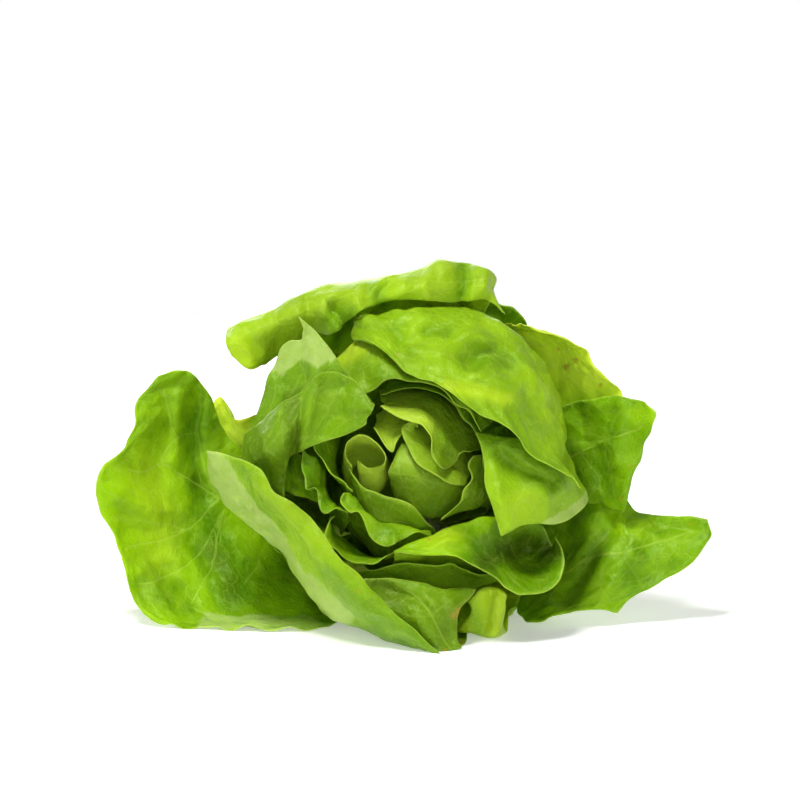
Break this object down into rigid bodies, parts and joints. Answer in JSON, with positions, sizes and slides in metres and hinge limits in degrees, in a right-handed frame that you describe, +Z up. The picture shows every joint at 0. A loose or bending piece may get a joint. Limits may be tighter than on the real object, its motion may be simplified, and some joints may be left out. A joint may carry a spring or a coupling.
{
  "type": "head of lettuce",
  "caption": "Head of butterhead lettuce lying on its side: a cut stem, curled heart leaves, wrapper leaves folded round them and open outer leaves.",
  "frame": {"origin": "the flat spot under the heart where the head lies on the table", "axes": "+Z up from the table, +Y from the mouth of the head back towards its stem, +X to the right as the mouth is seen"},
  "size_m": [0.2871, 0.1637, 0.1652],
  "materials": {
    "stem": "moist cut stalk, pale green to cream, a little browned at the cut",
    "heart_leaf": "smooth satin leaf, light yellow-green",
    "inner_leaf": "smooth satin leaf, clear green",
    "outer_leaf": "satin leaf, bright yellow-green, finely blistered, with pale veins and paler underside"
  },
  "bodies": {
    "root": {"stem": "stem", "heart_leaf_curl": "heart_leaf", "heart_leaf_ball": "heart_leaf", "heart_leaf_top": "heart_leaf", "heart_leaf_pocket": "heart_leaf", "heart_leaf_pale": "heart_leaf", "heart_leaf_right": "heart_leaf", "heart_leaf_low": "heart_leaf", "inner_leaf_top": "inner_leaf", "inner_leaf_left": "inner_leaf", "inner_leaf_low": "inner_leaf", "inner_leaf_right": "inner_leaf", "inner_leaf_ruffled": "inner_leaf", "inner_leaf_crest": "inner_leaf", "cup_leaf": "outer_leaf", "under_leaf_shadow": "outer_leaf", "under_leaf_pale": "outer_leaf", "under_leaf_front": "outer_leaf", "crown_leaf": "inner_leaf", "wrapper_leaf_right": "outer_leaf", "wrapper_leaf_over": "outer_leaf", "hood_leaf": "outer_leaf", "wrapper_leaf_peak": "outer_leaf", "wrapper_leaf_left": "outer_leaf", "wrapper_leaf_front": "outer_leaf", "fallen_leaf_low": "outer_leaf", "open_leaf_star": "outer_leaf", "open_leaf_right": "outer_leaf", "open_leaf_left": "outer_leaf", "open_leaf_top_right": "outer_leaf", "open_leaf_behind": "outer_leaf", "back_leaf_high": "outer_leaf", "back_leaf_left": "outer_leaf", "back_leaf_low_right": "outer_leaf", "back_leaf_low_left": "outer_leaf"}
  },
  "joints": []
}
